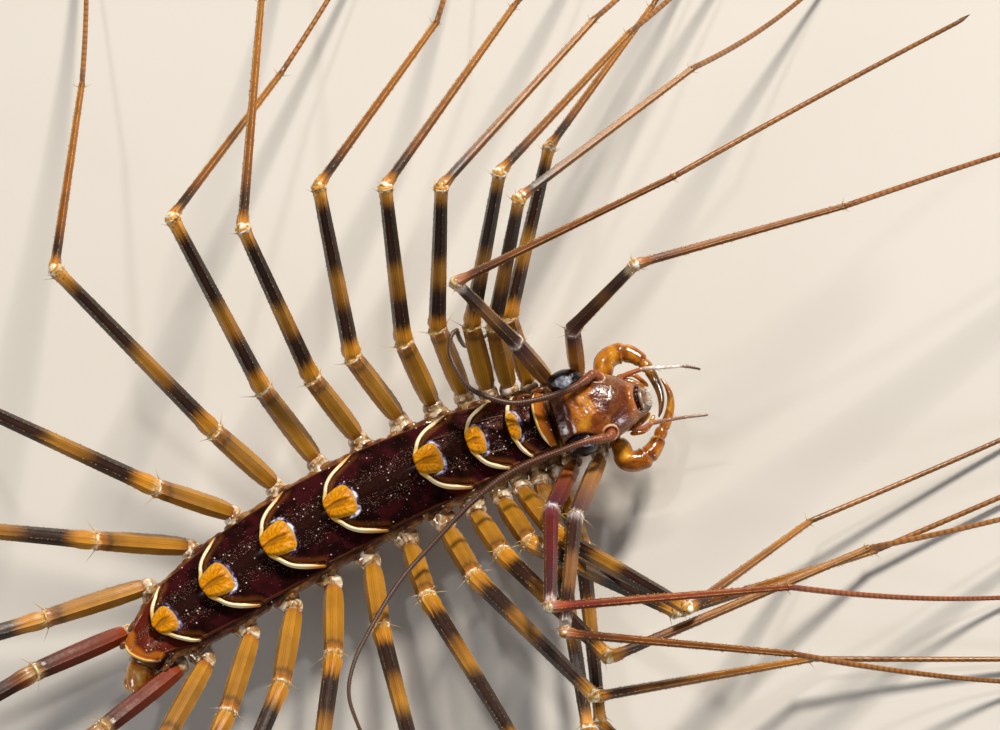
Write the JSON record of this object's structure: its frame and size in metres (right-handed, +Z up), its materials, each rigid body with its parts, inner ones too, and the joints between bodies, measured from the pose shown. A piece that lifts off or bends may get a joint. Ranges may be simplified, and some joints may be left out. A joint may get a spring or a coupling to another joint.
{
  "type": "house centipede",
  "caption": "Life-size still model of a long-legged house centipede standing alert, with banded legs, plated back, large eyes and curled feelers.",
  "frame": {"origin": "on the floor under the middle of the whole animal's outline, feelers and feet included", "axes": "+X towards the head, +Y to the animal's left, +Z up"},
  "size_m": [0.2214, 0.1808, 0.0363],
  "materials": {
    "plate": "glossy dark plum-brown shell with yellow-orange saddles and cream rims",
    "trunk": "soft ochre-brown side skin",
    "head": "glossy amber-brown capsule, darker at the back",
    "eye": "black, finely faceted, wet shine",
    "feeler": "dark brown, finely ringed",
    "claw": "glossy translucent amber, black-brown at the tips",
    "leg": "satin ochre with dark brown bands",
    "hind_leg": "satin reddish brown"
  },
  "bodies": {
    "root": {"neck_plate": "plate", "tergite_1": "plate", "tergite_2": "plate", "tergite_3": "plate", "tergite_4": "plate", "tergite_5": "plate", "tergite_6": "plate", "tergite_7": "plate", "tergite_8": "plate", "trunk_front": "trunk", "trunk_middle": "trunk", "trunk_rear": "trunk", "head": "head", "eye_left": "eye", "antenna_left": "feeler", "palp_left": "feeler", "forcipule_left": "claw", "eye_right": "eye", "antenna_right": "feeler", "palp_right": "feeler", "forcipule_right": "claw", "tail_end": "claw", "leg_left_01": "leg", "leg_left_02": "leg", "leg_left_03": "leg", "leg_left_04": "leg", "leg_left_05": "leg", "leg_left_06": "leg", "leg_left_07": "leg", "leg_left_08": "leg", "leg_left_09": "leg", "leg_left_10": "leg", "leg_left_11": "leg", "leg_left_12": "leg", "leg_left_13": "leg", "leg_left_14": "leg", "leg_left_15": "hind_leg", "leg_right_01": "leg", "leg_right_02": "leg", "leg_right_03": "leg", "leg_right_04": "leg", "leg_right_05": "leg", "leg_right_06": "leg", "leg_right_07": "leg", "leg_right_08": "leg", "leg_right_09": "leg", "leg_right_10": "leg", "leg_right_11": "leg", "leg_right_12": "leg", "leg_right_13": "leg", "leg_right_14": "leg", "leg_right_15": "hind_leg"}
  },
  "joints": []
}
